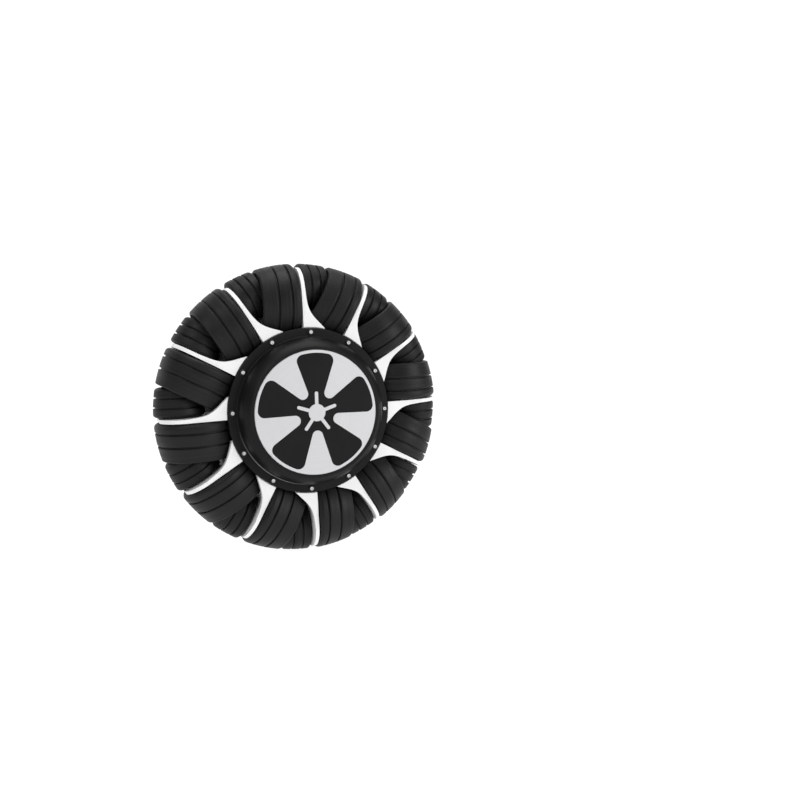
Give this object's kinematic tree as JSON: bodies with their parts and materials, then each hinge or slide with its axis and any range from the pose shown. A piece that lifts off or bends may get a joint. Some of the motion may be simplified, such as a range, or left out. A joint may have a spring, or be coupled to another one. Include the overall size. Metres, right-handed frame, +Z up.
{
  "type": "omnidirectional wheel",
  "caption": "Omnidirectional robot wheel with a hub motor: large and small barrel rollers alternate round the rim on white arms, and a fixed axle leaves the rear.",
  "frame": {"origin": "the wheel centre: on the spin axis, in the mid-plane of the rollers", "axes": "+Y is the spin axis and points out of the rear, where the axle leaves; the badge faces -Y; +Z is up"},
  "size_m": [0.2032, 0.1184, 0.2032],
  "materials": {
    "tread_rubber": "matte, fine turned lines",
    "roller_core": "glass-filled nylon",
    "arm_white": "satin white powder coat",
    "cover_black": "satin black, turned",
    "badge_silver": "satin anodised",
    "badge_black": "satin black inlay",
    "steel": "zinc plated",
    "pin_steel": "ground and polished",
    "axle_steel": "turned steel",
    "sleeve_bronze": "sintered bronze",
    "drum_alloy": "machined",
    "magnet": "nickel plated",
    "lamination": "stacked sheet",
    "copper": "enamelled wire",
    "board": "circuit board",
    "seal_rubber": "nitrile"
  },
  "bodies": {
    "axle": {"axle_shaft": "axle_steel", "stator_core": "lamination", "stator_windings": "copper", "hall_sensor_board": "board", "bearing_inner_rings": "pin_steel", "bearing_balls": "pin_steel", "cable_grommet": "seal_rubber"},
    "hub": {"rotor_drum": "drum_alloy", "rotor_magnets": "magnet", "front_cover": "cover_black", "rear_cover": "cover_black", "badge_disc": "badge_silver", "badge_inlay": "badge_black", "badge_spider": "badge_silver", "bearing_outer_rings": "pin_steel", "shaft_seal": "seal_rubber", "roller_arms": "arm_white", "big_roller_pins": "pin_steel", "small_roller_pins": "pin_steel", "big_roller_sleeves": "sleeve_bronze", "small_roller_sleeves": "sleeve_bronze", "big_roller_clips": "steel", "small_roller_clips": "steel", "arm_screws": "steel"},
    "big_01": {"big_tread_01": "tread_rubber", "big_core_01": "roller_core"},
    "small_01": {"small_roller_01": "tread_rubber"},
    "big_02": {"big_tread_02": "tread_rubber", "big_core_02": "roller_core"},
    "small_02": {"small_roller_02": "tread_rubber"},
    "big_03": {"big_tread_03": "tread_rubber", "big_core_03": "roller_core"},
    "small_03": {"small_roller_03": "tread_rubber"},
    "big_04": {"big_tread_04": "tread_rubber", "big_core_04": "roller_core"},
    "small_04": {"small_roller_04": "tread_rubber"},
    "big_05": {"big_tread_05": "tread_rubber", "big_core_05": "roller_core"},
    "small_05": {"small_roller_05": "tread_rubber"},
    "big_06": {"big_tread_06": "tread_rubber", "big_core_06": "roller_core"},
    "small_06": {"small_roller_06": "tread_rubber"},
    "big_07": {"big_tread_07": "tread_rubber", "big_core_07": "roller_core"},
    "small_07": {"small_roller_07": "tread_rubber"},
    "big_08": {"big_tread_08": "tread_rubber", "big_core_08": "roller_core"},
    "small_08": {"small_roller_08": "tread_rubber"},
    "big_09": {"big_tread_09": "tread_rubber", "big_core_09": "roller_core"},
    "small_09": {"small_roller_09": "tread_rubber"},
    "big_10": {"big_tread_10": "tread_rubber", "big_core_10": "roller_core"},
    "small_10": {"small_roller_10": "tread_rubber"},
    "big_11": {"big_tread_11": "tread_rubber", "big_core_11": "roller_core"},
    "small_11": {"small_roller_11": "tread_rubber"},
    "big_12": {"big_tread_12": "tread_rubber", "big_core_12": "roller_core"},
    "small_12": {"small_roller_12": "tread_rubber"}
  },
  "joints": [
    {"name": "wheel_spin", "type": "hinge", "parent": "axle", "child": "hub", "pos_m": [0, 0, 0], "axis": [0, 1, 0], "continuous": true},
    {"name": "big_roll_01", "type": "hinge", "parent": "hub", "child": "big_01", "pos_m": [-0.00455, 0, 0.07446], "axis": [-0.9981, 0, -0.061], "continuous": true},
    {"name": "small_roll_01", "type": "hinge", "parent": "hub", "child": "small_01", "pos_m": [-0.00516, 0, 0.08444], "axis": [0.9981, 0, 0.061], "continuous": true},
    {"name": "big_roll_02", "type": "hinge", "parent": "hub", "child": "big_02", "pos_m": [-0.04117, 0, 0.06221], "axis": [-0.8339, 0, -0.5519], "continuous": true},
    {"name": "small_roll_02", "type": "hinge", "parent": "hub", "child": "small_02", "pos_m": [-0.04669, 0, 0.07055], "axis": [0.8339, 0, 0.5519], "continuous": true},
    {"name": "big_roll_03", "type": "hinge", "parent": "hub", "child": "big_03", "pos_m": [-0.06676, 0, 0.03329], "axis": [-0.4462, 0, -0.8949], "continuous": true},
    {"name": "small_roll_03", "type": "hinge", "parent": "hub", "child": "small_03", "pos_m": [-0.07571, 0, 0.03775], "axis": [0.4462, 0, 0.8949], "continuous": true},
    {"name": "big_roll_04", "type": "hinge", "parent": "hub", "child": "big_04", "pos_m": [-0.07446, 0, -0.00455], "axis": [0.061, 0, -0.9981], "continuous": true},
    {"name": "small_roll_04", "type": "hinge", "parent": "hub", "child": "small_04", "pos_m": [-0.08444, 0, -0.00516], "axis": [-0.061, 0, 0.9981], "continuous": true},
    {"name": "big_roll_05", "type": "hinge", "parent": "hub", "child": "big_05", "pos_m": [-0.06221, 0, -0.04117], "axis": [0.5519, 0, -0.8339], "continuous": true},
    {"name": "small_roll_05", "type": "hinge", "parent": "hub", "child": "small_05", "pos_m": [-0.07055, 0, -0.04669], "axis": [-0.5519, 0, 0.8339], "continuous": true},
    {"name": "big_roll_06", "type": "hinge", "parent": "hub", "child": "big_06", "pos_m": [-0.03329, 0, -0.06676], "axis": [0.8949, 0, -0.4462], "continuous": true},
    {"name": "small_roll_06", "type": "hinge", "parent": "hub", "child": "small_06", "pos_m": [-0.03775, 0, -0.07571], "axis": [-0.8949, 0, 0.4462], "continuous": true},
    {"name": "big_roll_07", "type": "hinge", "parent": "hub", "child": "big_07", "pos_m": [0.00455, 0, -0.07446], "axis": [0.9981, 0, 0.061], "continuous": true},
    {"name": "small_roll_07", "type": "hinge", "parent": "hub", "child": "small_07", "pos_m": [0.00516, 0, -0.08444], "axis": [-0.9981, 0, -0.061], "continuous": true},
    {"name": "big_roll_08", "type": "hinge", "parent": "hub", "child": "big_08", "pos_m": [0.04117, 0, -0.06221], "axis": [0.8339, 0, 0.5519], "continuous": true},
    {"name": "small_roll_08", "type": "hinge", "parent": "hub", "child": "small_08", "pos_m": [0.04669, 0, -0.07055], "axis": [-0.8339, 0, -0.5519], "continuous": true},
    {"name": "big_roll_09", "type": "hinge", "parent": "hub", "child": "big_09", "pos_m": [0.06676, 0, -0.03329], "axis": [0.4462, 0, 0.8949], "continuous": true},
    {"name": "small_roll_09", "type": "hinge", "parent": "hub", "child": "small_09", "pos_m": [0.07571, 0, -0.03775], "axis": [-0.4462, 0, -0.8949], "continuous": true},
    {"name": "big_roll_10", "type": "hinge", "parent": "hub", "child": "big_10", "pos_m": [0.07446, 0, 0.00455], "axis": [-0.061, 0, 0.9981], "continuous": true},
    {"name": "small_roll_10", "type": "hinge", "parent": "hub", "child": "small_10", "pos_m": [0.08444, 0, 0.00516], "axis": [0.061, 0, -0.9981], "continuous": true},
    {"name": "big_roll_11", "type": "hinge", "parent": "hub", "child": "big_11", "pos_m": [0.06221, 0, 0.04117], "axis": [-0.5519, 0, 0.8339], "continuous": true},
    {"name": "small_roll_11", "type": "hinge", "parent": "hub", "child": "small_11", "pos_m": [0.07055, 0, 0.04669], "axis": [0.5519, 0, -0.8339], "continuous": true},
    {"name": "big_roll_12", "type": "hinge", "parent": "hub", "child": "big_12", "pos_m": [0.03329, 0, 0.06676], "axis": [-0.8949, 0, 0.4462], "continuous": true},
    {"name": "small_roll_12", "type": "hinge", "parent": "hub", "child": "small_12", "pos_m": [0.03775, 0, 0.07571], "axis": [0.8949, 0, -0.4462], "continuous": true}
  ]
}
